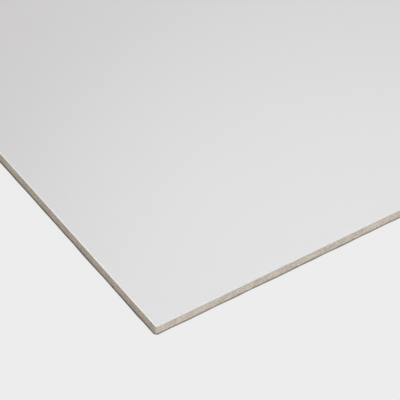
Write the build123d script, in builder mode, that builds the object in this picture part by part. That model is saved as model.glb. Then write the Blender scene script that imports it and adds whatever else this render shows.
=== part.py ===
from build123d import *
import os

# One full sheet of white-faced hardboard, lying flat with its painted face up.
# Sizes are in millimetres. The origin is the middle of the back face: +X runs along
# the length, +Y across the width and +Z out of the painted face.

sheet_length = 2440.0
sheet_width = 1220.0
sheet_thickness = 3.0
corner_radius = 0.6  # the four upright corners, softened by the saw and by handling
face_arris_radius = 0.15  # the painted face turns over into the sawn edge
back_arris_chamfer = 0.25  # the saw breaks the fibres away along the back

with BuildPart() as hardboard_sheet:
    with BuildSketch(Plane.XY):
        RectangleRounded(sheet_length, sheet_width, corner_radius)
    extrude(amount=sheet_thickness)

    painted_face = hardboard_sheet.faces().sort_by(Axis.Z)[-1]
    fillet(painted_face.edges(), radius=face_arris_radius)

    back_face = hardboard_sheet.faces().sort_by(Axis.Z)[0]
    chamfer(back_face.edges(), length=back_arris_chamfer)

hardboard_sheet.part.label = "hardboard_sheet"

os.makedirs("parts", exist_ok=True)
export_step(hardboard_sheet.part, "parts/hardboard_sheet.step")
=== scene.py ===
import math

import bpy
import numpy as np
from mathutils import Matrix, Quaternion, Vector


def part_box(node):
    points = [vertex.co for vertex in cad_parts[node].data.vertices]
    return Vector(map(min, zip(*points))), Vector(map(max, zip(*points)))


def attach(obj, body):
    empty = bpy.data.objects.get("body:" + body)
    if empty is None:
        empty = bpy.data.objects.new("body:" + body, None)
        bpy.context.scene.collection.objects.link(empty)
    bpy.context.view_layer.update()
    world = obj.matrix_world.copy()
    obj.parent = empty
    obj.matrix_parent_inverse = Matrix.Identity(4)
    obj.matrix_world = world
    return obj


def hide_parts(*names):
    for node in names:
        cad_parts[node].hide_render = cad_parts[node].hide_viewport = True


mm = 0.001
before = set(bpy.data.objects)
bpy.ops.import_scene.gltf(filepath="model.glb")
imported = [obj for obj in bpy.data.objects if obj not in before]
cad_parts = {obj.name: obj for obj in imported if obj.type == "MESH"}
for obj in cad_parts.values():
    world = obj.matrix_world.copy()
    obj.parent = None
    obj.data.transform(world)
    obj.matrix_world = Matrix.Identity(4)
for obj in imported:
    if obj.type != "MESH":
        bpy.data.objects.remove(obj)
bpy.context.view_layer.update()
sheetNode = "hardboard_sheet"
sheetLow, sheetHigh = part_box(sheetNode)
sheetLength, sheetWidth, sheetThickness = sheetHigh - sheetLow
sheetSides = (sheetLength, sheetWidth, sheetThickness)
print("frame: sheet of", [round(side / mm, 2) for side in sheetSides], "mm")


# the sheet's shape, which stays inside the CAD sheet's box
sheetShape = {
    "cornerRadius": 0.6 * mm,
    "faceArris": 0.15 * mm,  # where the white coat turns over
    "backArris": 0.25 * mm,
    "longColumns": 1632,  # columns of points along each long edge
    "shortColumns": 912,
    "cornerColumns": 8,  # and round each corner
    "crowding": 0.8,  # 0 spaces the columns evenly, towards 1 they crowd at the corners
    "arrisSteps": 4,
    "sideSteps": 5,
    "firstRing": 0.05 * mm,  # a narrow ring keeps the arris's shading off the flat face
    "ringHalvings": 6,
    "innerRing": 0.45 * mm,  # ring n lies this times (ring growth to the power n, less 1) further in
    "ringGrowth": 3.2,
    "noiseSamples": 32768,  # round the outline
    "sawWave": 0.012 * mm,
    "sawLengths": (4 * mm, 60 * mm),  # the shortest and longest waves that the saw leaves
    "fibreWave": 0.006 * mm,
    "fibreLengths": (0.8 * mm, 5 * mm),
    "waveReach": 0.9,  # the waves rise and fall down the edge over this much of half a sine
    "arrisWear": 0.12,  # share by which an arris wanders
    "wearLengths": (1.5 * mm, 30 * mm),
    "wearLimit": 2,  # the most that it wanders, in shares
    "faceNicks": 150,
    "faceNickDepth": 0.05 * mm,
    "backNicks": 900,
    "backNickDepth": 0.20 * mm,
    "nickDepths": (0.25, 1.0),  # a nick's depth is the square of a number from here, as a share
    "nickHalfLength": 0.7 * mm,
    "nickLengths": (0.4, 1.6),  # shares of that half length
    "sharpAngle": 35,  # degrees between two faces from which their edge is shaded sharp
    "seed": 11,
}


def crowdedSteps(count, crowding):
    # q less crowding / 2 pi times sin 2 pi q: even steps of q, closest together at both ends
    q = np.arange(count) / count
    return q - crowding / (2 * np.pi) * np.sin(2 * np.pi * q)


def outlineColumns(shape):
    # the outline is the spine, a rectangle set in by the corner radius, plus that radius times a
    # unit normal, which holds still along an edge and turns a quarter at each corner. It starts at
    # the right rear corner and runs left
    radius = shape["cornerRadius"]
    a, b = sheetLength / 2 - radius, sheetWidth / 2 - radius
    corners = np.array([(a, b), (-a, b), (-a, -b), (a, -b)])
    spines, turns, arcs, start = [], [], [], 0.0
    for side in range(4):
        here, there = corners[side], corners[(side + 1) % 4]
        run = np.linalg.norm(there - here)
        count = shape["longColumns"] if side % 2 == 0 else shape["shortColumns"]
        along = crowdedSteps(count, shape["crowding"])
        spines.append(here + along[:, None] * (there - here))
        turns.append(np.full(count, side + 1.0))
        arcs.append(start + along * run)
        bend = np.arange(shape["cornerColumns"]) / shape["cornerColumns"]
        spines.append(np.repeat(there[None], len(bend), 0))
        turns.append(side + 1.0 + bend)
        arcs.append(start + run + bend * radius * np.pi / 2)
        start += run + radius * np.pi / 2
    angle = np.concatenate(turns) * np.pi / 2
    normal = np.stack([np.cos(angle), np.sin(angle)], 1)
    return np.concatenate(spines), normal, np.concatenate(arcs), start


def edgeNoise(shape, random, arc, perimeter, lengths):
    # white noise round the outline, keeping only the waves between two lengths, at unit spread
    samples = shape["noiseSamples"]
    shortest, longest = lengths
    waves = np.fft.rfft(random.standard_normal(samples))
    rate = np.fft.rfftfreq(samples, perimeter / samples)
    waves *= (rate > 1 / longest) & (rate < 1 / shortest)
    noise = np.fft.irfft(waves, samples)
    places = np.arange(samples) * perimeter / samples
    return np.interp(arc, places, noise / noise.std(), period=perimeter)


def nicks(shape, random, arc, perimeter, count, depth):
    # each nick is a bell, depth times exp(-(distance / half length)^2), and the deepest one shows
    places = random.uniform(0, perimeter, count)
    depths = depth * random.uniform(*shape["nickDepths"], count) ** 2
    lengths = shape["nickHalfLength"] * random.uniform(*shape["nickLengths"], count)
    away = np.abs(arc[:, None] - places)
    away = np.minimum(away, perimeter - away)
    return (depths * np.exp(-((away / lengths) ** 2))).max(1)


def wornArris(shape, random, arc, perimeter, size, nickCount, nickDepth):
    # size (1 + wear times noise) + nicks, for each column
    limit = shape["wearLimit"]
    noise = edgeNoise(shape, random, arc, perimeter, shape["wearLengths"])
    worn = size * (1 + shape["arrisWear"] * np.clip(noise, -limit, limit))
    return worn + nicks(shape, random, arc, perimeter, nickCount, nickDepth)


def edgeProfile(shape, random, arc, perimeter):
    # rows of (inset, height) for each column, from the flat face over the arris, down the sawn
    # edge and under the back arris. The arris is a quarter circle: inset r (1 - sin t),
    # height top - r (1 - cos t)
    faceRadius = wornArris(shape, random, arc, perimeter, shape["faceArris"],
                           shape["faceNicks"], shape["faceNickDepth"])
    backSize = wornArris(shape, random, arc, perimeter, shape["backArris"],
                         shape["backNicks"], shape["backNickDepth"])
    turn = np.linspace(0, np.pi / 2, shape["arrisSteps"] + 1)
    arrisInset = faceRadius[:, None] * (1 - np.sin(turn))
    arrisHeight = sheetThickness - faceRadius[:, None] * (1 - np.cos(turn))

    # the side's inset is |saw's wave + fibres' waves| times a part of half a sine
    down = np.arange(1, shape["sideSteps"] + 1) / shape["sideSteps"]
    sideTop = arrisHeight[:, -1:]
    sideHeight = sideTop + down * (backSize[:, None] - sideTop)
    saw = edgeNoise(shape, random, arc, perimeter, shape["sawLengths"])
    fibres = [edgeNoise(shape, random, arc, perimeter, shape["fibreLengths"]) for row in down]
    ripple = shape["sawWave"] * saw[:, None] + shape["fibreWave"] * np.stack(fibres, 1)
    sideInset = np.abs(ripple) * np.sin(np.pi * down * shape["waveReach"])
    inset = np.hstack([arrisInset[:, :1] + shape["firstRing"], arrisInset, sideInset,
                       backSize[:, None], backSize[:, None] + shape["firstRing"]])
    height = np.hstack([arrisHeight[:, :1], arrisHeight, sideHeight,
                        np.zeros((len(arc), 2))])
    return inset, height


def flatRings(shape, spine, normal, inset, height, firstPoint, edgePoints, faceUp):
    # closes a flat side: each ring keeps every second point of the one outside it, three
    # triangles to a pair, and one polygon fills the middle
    points, triangles = [], []
    outer = edgePoints
    radius = shape["cornerRadius"] - inset
    reach = np.array([sheetLength / 2, sheetWidth / 2]) - shape["cornerRadius"]
    nextPoint = firstPoint
    for ring in range(1, shape["ringHalvings"] + 1):
        step = 2 ** ring
        depth = shape["innerRing"] * (shape["ringGrowth"] ** ring - 1)
        xy = spine[::step] * (1 - depth / reach) + radius[::step, None] * normal[::step]
        points.append(np.column_stack([xy, np.full(len(xy), height)]))
        inner = nextPoint + np.arange(len(xy))
        nextPoint += len(xy)
        first, middle, last = outer[::2], outer[1::2], np.roll(outer[::2], -1)
        onward = np.roll(inner, -1)
        triangles += [np.column_stack([first, middle, inner]),
                      np.column_stack([middle, last, onward]),
                      np.column_stack([middle, onward, inner])]
        outer = inner
    triangles = np.concatenate(triangles)
    if not faceUp:
        triangles, outer = triangles[:, ::-1], outer[::-1]
    return np.concatenate(points), triangles, outer


def faceCorners(here, onward):
    # the values at each face's four corners, from those of its column and of the next one round
    return np.stack([here[:, 1:], onward[:, 1:], onward[:, :-1], here[:, :-1]], 2)


def makeSheet(shape):
    # a profile carried round the outline: point = spine + (corner radius - inset) * normal
    random = np.random.default_rng(shape["seed"])
    spine, normal, arc, perimeter = outlineColumns(shape)
    inset, height = edgeProfile(shape, random, arc, perimeter)
    columns, rows = inset.shape
    reach = shape["cornerRadius"] - inset
    xy = spine[:, None] + reach[..., None] * normal[:, None]
    band = np.concatenate([xy, height[..., None]], 2).reshape(-1, 3)
    number = np.arange(columns * rows).reshape(columns, rows)
    quads = faceCorners(number, np.roll(number, -1, 0)).reshape(-1, 4)

    facePoints, faceTriangles, faceMiddle = flatRings(
        shape, spine, normal, inset[:, 0], sheetThickness, len(band), number[:, 0], True)
    backPoints, backTriangles, backMiddle = flatRings(
        shape, spine, normal, inset[:, -1], 0.0, len(band) + len(facePoints), number[:, -1], False)
    points = np.concatenate([band, facePoints, backPoints])
    faces = (quads.tolist() + faceTriangles.tolist() + backTriangles.tolist()
             + [faceMiddle.tolist(), backMiddle.tolist()])
    mesh = bpy.data.meshes.new("hardboardSheet")
    mesh.from_pydata(points.tolist(), [], faces)

    # slot 0 is the white face, slot 1 the sawn edge with both arrises, slot 2 the back
    strips = np.ones((columns, rows - 1), int)
    strips[:, 0] = 0
    strips[:, -1] = 2
    slots = np.concatenate([strips.ravel(), np.zeros(len(faceTriangles), int),
                            np.full(len(backTriangles), 2), [0, 2]])
    mesh.polygons.foreach_set("material_index", slots.astype(np.int32))
    mesh.polygons.foreach_set("use_smooth", np.ones(len(slots), bool))
    mesh.set_sharp_from_angle(angle=math.radians(shape["sharpAngle"]))

    # edgeMap runs u along the outline and v up the edge, both in metres. On the flat sides it is (x, y)
    nextArc = np.append(arc[1:], perimeter)
    u = faceCorners(np.repeat(arc[:, None], rows, 1), np.repeat(nextArc[:, None], rows, 1))
    v = faceCorners(height, np.roll(height, -1, 0))
    bandMap = np.stack([u, v], 3).reshape(-1, 2)
    flat = np.concatenate([faceTriangles.ravel(), backTriangles.ravel(), faceMiddle, backMiddle])
    wholeMap = np.concatenate([bandMap, points[flat, :2]])
    edgeMap = mesh.uv_layers.new(name="edgeMap")
    edgeMap.data.foreach_set("uv", wholeMap.astype(np.float32).ravel())
    mesh.validate()
    mesh.update()
    sheet = bpy.data.objects.new("hardboardSheet", mesh)
    bpy.context.scene.collection.objects.link(sheet)
    return sheet


def addNode(tree, kind, inputs=None, **settings):
    # a node with its settings, and each input either linked or set
    made = tree.nodes.new(kind)
    for name, value in settings.items():
        setattr(made, name, value)
    for name, value in (inputs or {}).items():
        if isinstance(value, bpy.types.NodeSocket):
            tree.links.new(value, made.inputs[name])
        else:
            made.inputs[name].default_value = value
    return made


def mathNode(tree, operation, *values):
    return addNode(tree, "ShaderNodeMath", dict(enumerate(values)), operation=operation).outputs[0]


def vectorNode(tree, operation, *values):
    return addNode(tree, "ShaderNodeVectorMath", dict(enumerate(values)), operation=operation).outputs[0]


def scaledNode(tree, vector, scale):
    made = addNode(tree, "ShaderNodeVectorMath", {0: vector, "Scale": scale}, operation="SCALE")
    return made.outputs[0]


def partsOf(tree, vector):
    return addNode(tree, "ShaderNodeSeparateXYZ", {"Vector": vector}).outputs


def objectPlace(tree):
    return addNode(tree, "ShaderNodeTexCoord").outputs["Object"]


def rampNode(tree, value, low, high, start=0.0, end=1.0):
    # value mapped from low..high to start..end with soft ends
    made = addNode(tree, "ShaderNodeMapRange",
                   {"Value": value, "From Min": low, "From Max": high, "To Min": start, "To Max": end},
                   interpolation_type="SMOOTHSTEP")
    return made.outputs["Result"]


def mixColour(tree, factor, first, second):
    # the mix node's sockets 0, 6 and 7 are the factor and the two colours
    made = addNode(tree, "ShaderNodeMix", {0: factor, 6: first, 7: second}, data_type="RGBA")
    return made.outputs[2]


def shareNode(tree, first, share, second):
    # share of the first and the rest of the second
    return mathNode(tree, "MULTIPLY_ADD", first, share, mathNode(tree, "MULTIPLY", second, 1 - share))


def swingNode(tree, noise, swing, middle=0.0):
    # middle + swing (noise - 1/2)
    return mathNode(tree, "MULTIPLY_ADD", noise, swing, middle - swing / 2)


def noiseNode(tree, place, marks, output="Fac"):
    # marks gives the length of the coarsest marks, how many finer sets there are and their strength
    made = addNode(tree, "ShaderNodeTexNoise",
                   {"Vector": place, "Scale": 1 / marks["length"], "Detail": marks["detail"],
                    "Roughness": marks["strength"]})
    return made.outputs[output]


def newMaterial(name):
    material = bpy.data.materials.new(name)
    material.use_nodes = True
    material.node_tree.nodes.clear()
    return material, material.node_tree


def finishMaterial(tree, colour, roughness, height, bumpDistance):
    bump = addNode(tree, "ShaderNodeBump", {"Height": height, "Distance": bumpDistance, "Strength": 1.0})
    surface = addNode(tree, "ShaderNodeBsdfPrincipled",
                      {"Base Color": colour, "Roughness": roughness, "Normal": bump.outputs["Normal"]})
    addNode(tree, "ShaderNodeOutputMaterial", {"Surface": surface.outputs[0]})


# the white coat
whiteCoat = {
    "colour": (0.627, 0.610, 0.622, 1),
    "shade": (0.603, 0.587, 0.600, 1),
    "tone": {"length": 220 * mm, "detail": 3, "strength": 0.5},
    "mottle": {"length": 5 * mm, "detail": 3, "strength": 0.5},
    "toneShare": 0.5,
    "arrisHighlight": (0.775, 0.746, 0.738, 1),  # a painted highlight, a lighter coat colour along the arris
    "shortHighlight": 1.0,  # how much of the painted highlight's colour the short edges take
    "longHighlight": 0.32,
    "highlightWidth": 0.30 * mm,
    "highlightFade": 0.22 * mm,
    "peel": {"length": 0.9 * mm, "detail": 1, "strength": 0.5},
    "peelDepth": 0.003 * mm,
    "roughness": 0.21,
    "roughnessChange": 0.04,
}


def pastSides(tree, place, inset=0.0):
    # (|x| - a, |y| - b, ...), where a and b are half the sheet's length and width, less the inset:
    # how far a place lies outside each pair of sides, less than 0 inside
    halfSides = (sheetLength / 2 - inset, sheetWidth / 2 - inset, 1)
    return vectorNode(tree, "SUBTRACT", vectorNode(tree, "ABSOLUTE", place), halfSides)


def whiteCoatParts(tree, place):
    # colour, roughness and height of the coat, with its painted arris highlight, shared by the face and
    # the arris
    tone = noiseNode(tree, place, whiteCoat["tone"])
    mottle = noiseNode(tree, place, whiteCoat["mottle"])
    blend = shareNode(tree, tone, whiteCoat["toneShare"], mottle)
    colour = mixColour(tree, blend, whiteCoat["shade"], whiteCoat["colour"])
    # a painted highlight along each arris, fuller on the short edges than on the long ones
    past = partsOf(tree, pastSides(tree, place))
    highlights = [rampNode(tree, past[axis], -whiteCoat["highlightWidth"] - whiteCoat["highlightFade"],
                     -whiteCoat["highlightWidth"], 0, whiteCoat[share])
            for axis, share in (("X", "shortHighlight"), ("Y", "longHighlight"))]
    colour = mixColour(tree, mathNode(tree, "MAXIMUM", *highlights), colour, whiteCoat["arrisHighlight"])
    roughness = swingNode(tree, mottle, whiteCoat["roughnessChange"], whiteCoat["roughness"])
    return colour, roughness, noiseNode(tree, place, whiteCoat["peel"])


def whiteFaceMaterial():
    material, tree = newMaterial("whiteFace")
    colour, roughness, peel = whiteCoatParts(tree, objectPlace(tree))
    finishMaterial(tree, colour, roughness, peel, whiteCoat["peelDepth"])
    return material


# the sawn edge: pressed wood fibre, with the white coat turned over its upper arris
sawnEdge = {
    "fibre": (0.645, 0.577, 0.485, 1),
    "darkFibre": (0.370, 0.323, 0.268, 1),
    "streaks": {"length": 0.38 * mm, "detail": 6, "strength": 0.65},
    "patches": {"length": 3.5 * mm, "detail": 2, "strength": 0.5},
    "streakShare": 0.82,  # the rest of the pattern is the patches
    "darkTo": 0.42,  # where the pattern is less, the fibre is dark
    "paleFrom": 0.58,
    "redFibre": (0.560, 0.464, 0.399, 1),  # some bundles of fibre are redder
    "reds": {"length": 0.8 * mm, "detail": 2, "strength": 0.5},
    "redFrom": 0.4,
    "redTo": 0.65,
    "redShare": 0.6,
    "skin": (0.460, 0.407, 0.338, 1),  # the denser board just under both faces
    "faceSkin": 0.64,  # how much of the skin's colour shows under each face
    "backSkin": 0.42,
    "faceSkinDepth": 0.55 * mm,
    "backSkinDepth": 0.5 * mm,
    "coatEnd": 0.11 * mm,  # how far down the edge the coat reaches
    "coatFade": 0.03 * mm,
    "coatWander": 0.04 * mm,
    "coatWaves": {"length": 1.2 * mm, "detail": 2, "strength": 0.5},
    "longSlant": 1.1,  # the saw's marks lean along each edge by this much of their height
    "shortSlant": -0.57,  # and the short edges were cut the other way
    "squeeze": 0.4,
    "grain": {"length": 0.35 * mm, "detail": 5, "strength": 0.65},
    "grainDepth": 0.016 * mm,
    "roughness": 0.75,
}


def slanted(tree, edge, place):
    # (u + slant v, squeeze v): sawing marks run up the edge at a lean. A place belongs to a short
    # edge where it lies further out along x than along y
    past = partsOf(tree, pastSides(tree, place))
    short = mathNode(tree, "GREATER_THAN", past["X"], past["Y"])
    slant = mathNode(tree, "MULTIPLY_ADD", short, sawnEdge["shortSlant"] - sawnEdge["longSlant"],
                     sawnEdge["longSlant"])
    parts = partsOf(tree, edge)
    along = mathNode(tree, "MULTIPLY_ADD", parts["Y"], slant, parts["X"])
    up = mathNode(tree, "MULTIPLY", parts["Y"], sawnEdge["squeeze"])
    return addNode(tree, "ShaderNodeCombineXYZ", {"X": along, "Y": up}).outputs[0]


def fibreColour(tree, edge, streaks, height, fromCoat):
    # streaks and patches of darker and redder fibre, and the dense skin below each face
    patches = noiseNode(tree, edge, sawnEdge["patches"])
    pattern = shareNode(tree, streaks, sawnEdge["streakShare"], patches)
    pale = rampNode(tree, pattern, sawnEdge["darkTo"], sawnEdge["paleFrom"])
    colour = mixColour(tree, pale, sawnEdge["darkFibre"], sawnEdge["fibre"])
    reds = noiseNode(tree, edge, sawnEdge["reds"])
    red = rampNode(tree, reds, sawnEdge["redFrom"], sawnEdge["redTo"], 0, sawnEdge["redShare"])
    colour = mixColour(tree, red, colour, sawnEdge["redFibre"])
    skins = [rampNode(tree, fromCoat, 0, sawnEdge["faceSkinDepth"], sawnEdge["faceSkin"], 0),
             rampNode(tree, height, 0, sawnEdge["backSkinDepth"], sawnEdge["backSkin"], 0)]
    return mixColour(tree, mathNode(tree, "MAXIMUM", *skins), colour, sawnEdge["skin"])


def sawnEdgeMaterial():
    material, tree = newMaterial("sawnEdge")
    edge = addNode(tree, "ShaderNodeUVMap", uv_map="edgeMap").outputs["UV"]
    place = objectPlace(tree)
    height = partsOf(tree, place)["Z"]
    marks = slanted(tree, edge, place)
    streaks = noiseNode(tree, marks, sawnEdge["streaks"])
    fromCoat = mathNode(tree, "SUBTRACT", sheetThickness - sawnEdge["coatEnd"], height)
    fibre = fibreColour(tree, edge, streaks, height, fromCoat)

    # the coat ends in a line that wanders a little
    waves = noiseNode(tree, edge, sawnEdge["coatWaves"])
    wander = swingNode(tree, waves, sawnEdge["coatWander"])
    coat = rampNode(tree, mathNode(tree, "ADD", fromCoat, wander),
                    -sawnEdge["coatFade"] / 2, sawnEdge["coatFade"] / 2, 1, 0)
    bare = mathNode(tree, "SUBTRACT", 1.0, coat)
    white, coatRoughness, peel = whiteCoatParts(tree, place)
    colour = mixColour(tree, coat, fibre, white)
    roughness = mathNode(tree, "ADD", mathNode(tree, "MULTIPLY", coatRoughness, coat),
                         mathNode(tree, "MULTIPLY", bare, sawnEdge["roughness"]))
    grain = noiseNode(tree, marks, sawnEdge["grain"])
    relief = mathNode(tree, "MULTIPLY", mathNode(tree, "ADD", grain, streaks), bare)
    finishMaterial(tree, colour, roughness, relief, sawnEdge["grainDepth"])
    return material


# the back: bare board with the print of the woven wire screen that it was pressed on
screenBack = {
    "colour": (0.415, 0.312, 0.220, 1),
    "dark": (0.235, 0.165, 0.108, 1),
    "pitch": 1.6 * mm,  # from one wire to the next
    "depth": 0.18 * mm,
    "weave": 0.35,  # every second knot of the weave is pressed in this much less
    "wobble": 0.4 * mm,
    "wobbles": {"length": 11 * mm, "detail": 2, "strength": 0.5},
    "mottle": {"length": 9 * mm, "detail": 5, "strength": 0.6},
    "fibres": {"length": 0.55 * mm, "detail": 4, "strength": 0.7},
    "knotShade": 0.4,  # how much knots, mottle and fibres each add to the colour's pattern
    "mottleShade": 0.4,
    "fibreShade": 0.6,
    "darkTo": 0.35,  # where the pattern is less, the board is dark
    "paleFrom": 0.95,
    "fibreHeight": 0.4,  # next to a knot's
    "roughness": 0.8,
    "roughnessChange": 0.1,
}


def wirePrint(tree, place):
    # |s| less weave times s, over the most that can be, where s is sin(pi x / pitch) times
    # sin(pi y / pitch), on places that wobble a little
    wobbles = noiseNode(tree, place, screenBack["wobbles"], "Color")
    wobble = scaledNode(tree, wobbles, screenBack["wobble"])
    shaken = partsOf(tree, vectorNode(tree, "ADD", place, wobble))
    turns = [mathNode(tree, "MULTIPLY", shaken[axis], math.pi / screenBack["pitch"]) for axis in "XY"]
    knots = mathNode(tree, "MULTIPLY", *[mathNode(tree, "SINE", turn) for turn in turns])
    height = mathNode(tree, "ABSOLUTE", knots)
    height = mathNode(tree, "MULTIPLY_ADD", knots, -screenBack["weave"], height)
    return mathNode(tree, "DIVIDE", height, 1 + screenBack["weave"])


def screenBackMaterial():
    material, tree = newMaterial("screenBack")
    place = objectPlace(tree)
    knots = wirePrint(tree, place)
    mottle = noiseNode(tree, place, screenBack["mottle"])
    fibres = noiseNode(tree, place, screenBack["fibres"])
    pattern = mathNode(tree, "MULTIPLY", fibres, screenBack["fibreShade"])
    pattern = mathNode(tree, "MULTIPLY_ADD", mottle, screenBack["mottleShade"], pattern)
    pattern = mathNode(tree, "MULTIPLY_ADD", knots, screenBack["knotShade"], pattern)
    pale = rampNode(tree, pattern, screenBack["darkTo"], screenBack["paleFrom"])
    colour = mixColour(tree, pale, screenBack["dark"], screenBack["colour"])
    height = mathNode(tree, "MULTIPLY_ADD", fibres, screenBack["fibreHeight"], knots)
    roughness = swingNode(tree, mottle, screenBack["roughnessChange"], screenBack["roughness"])
    finishMaterial(tree, colour, roughness, height, screenBack["depth"])
    return material


sheet = makeSheet(sheetShape)
for material in (whiteFaceMaterial(), sawnEdgeMaterial(), screenBackMaterial()):
    sheet.data.materials.append(material)
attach(sheet, "root")
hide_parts(sheetNode)
print("sheet:", len(sheet.data.vertices), "points,",
      sum(len(face.vertices) - 2 for face in sheet.data.polygons), "triangles")


# the pale setting, whose colour a camera sees as it is written
setting = {
    "pale": (0.8469, 0.8469, 0.8469, 1),
    "halfSize": 60.0,
    "below": 0.06 * mm,  # the floor lies this far under the sheet
    "openingInset": 0.6 * mm,  # and is open there, so that light reaches the sheet's back
    "paintedLineWidth": 0.145 * mm,  # a painted contact shadow, a dark line where sheet and floor meet
    "paintedLineBlur": 0.15 * mm,
    "paintedLineWander": 0.36 * mm,
    "paintedLineWaves": {"length": 6 * mm, "detail": 0, "strength": 0.5},
    "paintedLineShade": 0.38,
    "cornerThinning": 0.45,  # and it fades out round the corners
    "nearShadow": 1.0,  # share of the real shadow right at the edge
    "farShadow": 0.02,  # and further out
    "shadowFrom": 0.07 * mm,
    "shadowTo": 0.27 * mm,
    "shadowReach": 0.05,
    "domeColour": (1.03, 1.0, 0.93, 1),
    "domeLight": 0.515,
}


def seenDirectly(tree):
    # 1 for a camera, glossy or transmission ray
    path = addNode(tree, "ShaderNodeLightPath").outputs
    either = mathNode(tree, "MAXIMUM", path["Is Camera Ray"], path["Is Glossy Ray"])
    return mathNode(tree, "MAXIMUM", either, path["Is Transmission Ray"])


def mixShader(tree, factor, first, second):
    return addNode(tree, "ShaderNodeMixShader", {0: factor, 1: first, 2: second}).outputs[0]


def fromSheet(tree, place):
    # distance from the sheet's outline: the length of what |x| and |y| have over the spine's half
    # sides, less the corner radius. Round a corner the lesser of the two is added, times thinning
    radius = sheetShape["cornerRadius"]
    over = vectorNode(tree, "MAXIMUM", pastSides(tree, place, radius), (0, 0, 0))
    length = addNode(tree, "ShaderNodeVectorMath", {0: over}, operation="LENGTH").outputs["Value"]
    parts = partsOf(tree, over)
    lesser = mathNode(tree, "MINIMUM", parts["X"], parts["Y"])
    thinned = mathNode(tree, "MULTIPLY", lesser, setting["cornerThinning"])
    return mathNode(tree, "ADD", mathNode(tree, "SUBTRACT", length, radius), thinned)


def floorMaterial():
    # seen directly, the floor has its own even colour, a painted contact shadow round the sheet and a
    # share of the real shadow. The sheet sees a plain floor, and from below it is clear
    material, tree = newMaterial("paleFloor")
    place = objectPlace(tree)
    away = fromSheet(tree, place)
    waves = noiseNode(tree, place, setting["paintedLineWaves"])
    wander = swingNode(tree, waves, setting["paintedLineWander"])
    # the painted contact shadow: darker within a narrow, wandering line round the sheet
    paintedShadowLine = rampNode(tree, mathNode(tree, "ADD", away, wander), setting["paintedLineWidth"],
                       setting["paintedLineWidth"] + setting["paintedLineBlur"], setting["paintedLineShade"], 1.0)
    # the floor's pale colour with the painted contact shadow in it
    pale = scaledNode(tree, setting["pale"][:3], paintedShadowLine)
    share = rampNode(tree, away, setting["shadowFrom"], setting["shadowTo"],
                     setting["nearShadow"], setting["farShadow"])
    share = mathNode(tree, "MULTIPLY", share, rampNode(tree, away, 0, setting["shadowReach"], 1, 0))
    even = addNode(tree, "ShaderNodeEmission", {"Color": pale}).outputs[0]
    shaded = addNode(tree, "ShaderNodeBsdfDiffuse", {"Color": pale}).outputs[0]
    plain = addNode(tree, "ShaderNodeBsdfDiffuse", {"Color": setting["pale"]}).outputs[0]
    clear = addNode(tree, "ShaderNodeBsdfTransparent").outputs[0]
    seen = mixShader(tree, share, even, shaded)
    above = mixShader(tree, seenDirectly(tree), plain, seen)
    under = addNode(tree, "ShaderNodeNewGeometry").outputs["Backfacing"]
    addNode(tree, "ShaderNodeOutputMaterial", {"Surface": mixShader(tree, under, above, clear)})
    return material


def makeFloor():
    # a square with an opening under the sheet, four quads between two rings of four points
    corner = np.array([(-1, -1), (1, -1), (1, 1), (-1, 1)])
    outer = corner * setting["halfSize"]
    inner = corner * (np.array([sheetLength, sheetWidth]) / 2 - setting["openingInset"])
    xy = np.concatenate([outer, inner])
    points = np.column_stack([xy, np.full(len(xy), -setting["below"])])
    first = np.arange(4)
    second = np.roll(first, -1)
    quads = np.stack([first, second, second + 4, first + 4], 1)
    mesh = bpy.data.meshes.new("paleFloor")
    mesh.from_pydata(points.tolist(), [], quads.tolist())
    mesh.materials.append(floorMaterial())
    floor = bpy.data.objects.new("paleFloor", mesh)
    bpy.context.scene.collection.objects.link(floor)


def makeWorld():
    world = bpy.data.worlds.new("paleWorld")
    bpy.context.scene.world = world
    world.use_nodes = True
    tree = world.node_tree
    tree.nodes.clear()
    seen = addNode(tree, "ShaderNodeBackground", {"Color": setting["pale"], "Strength": 1.0})
    dome = addNode(tree, "ShaderNodeBackground",
                   {"Color": setting["domeColour"], "Strength": setting["domeLight"]})
    both = mixShader(tree, seenDirectly(tree), dome.outputs[0], seen.outputs[0])
    addNode(tree, "ShaderNodeOutputWorld", {"Surface": both})


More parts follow.
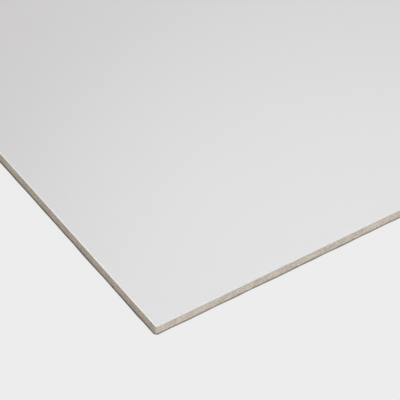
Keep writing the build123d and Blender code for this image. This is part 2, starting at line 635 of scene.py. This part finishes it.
# azimuth 0 is in front of the sheet and 90 to its right; angle is how wide the lamp looks
lamps = {
    "keyLamp": {"azimuth": 14, "elevation": 40, "power": 0.48 * math.pi, "angle": 22,
                "colour": (0.955, 1.0, 1.10)},
    "sheenLamp": {"azimuth": 136, "elevation": 49.2, "power": 0.40, "angle": 18,
                  "colour": (0.98, 1.02, 1.0)},
}
lampDistance = 3.0  # both are suns, so this only places them


def towards(azimuth, elevation):
    a, e = math.radians(azimuth), math.radians(elevation)
    return Vector((math.sin(a) * math.cos(e), -math.cos(a) * math.cos(e), math.sin(e)))


def makeLamps():
    for name, lamp in lamps.items():
        sun = bpy.data.lights.new(name, "SUN")
        sun.energy = lamp["power"]
        sun.angle = math.radians(lamp["angle"])
        sun.color = lamp["colour"]
        holder = bpy.data.objects.new(name, sun)
        away = towards(lamp["azimuth"], lamp["elevation"])
        holder.location = away * lampDistance
        holder.rotation_mode = "QUATERNION"
        holder.rotation_quaternion = away.to_track_quat("Z", "Y")
        bpy.context.scene.collection.objects.link(holder)


# the camera stands before the left front corner and looks down on the face
camera = {
    "azimuth": -38.10,
    "elevation": 44.858,
    "roll": 4.33,
    "distance": 0.6987,
    "fromLeft": 37.49 * mm,  # where the middle of the picture lies, in from the two edges
    "fromFront": 33.05 * mm,
    "lens": 225.0,
    "sensorWidth": 36.0,
    "near": 0.05,
    "far": 200.0,
}


def makeCamera():
    data = bpy.data.cameras.new("camera")
    data.lens = camera["lens"]
    data.sensor_width = camera["sensorWidth"]
    data.clip_start = camera["near"]
    data.clip_end = camera["far"]
    holder = bpy.data.objects.new("camera", data)
    aim = Vector((sheetLow.x + camera["fromLeft"], sheetLow.y + camera["fromFront"], sheetHigh.z))
    back = towards(camera["azimuth"], camera["elevation"])
    holder.location = aim + back * camera["distance"]
    holder.rotation_mode = "QUATERNION"
    level = (-back).to_track_quat("-Z", "Y")
    holder.rotation_quaternion = level @ Quaternion((0, 0, 1), math.radians(camera["roll"]))
    bpy.context.scene.collection.objects.link(holder)
    bpy.context.scene.camera = holder


makeFloor()
makeWorld()
makeLamps()
makeCamera()
bpy.context.scene.view_settings.view_transform = "Standard"
print("setting, lamps and camera made")
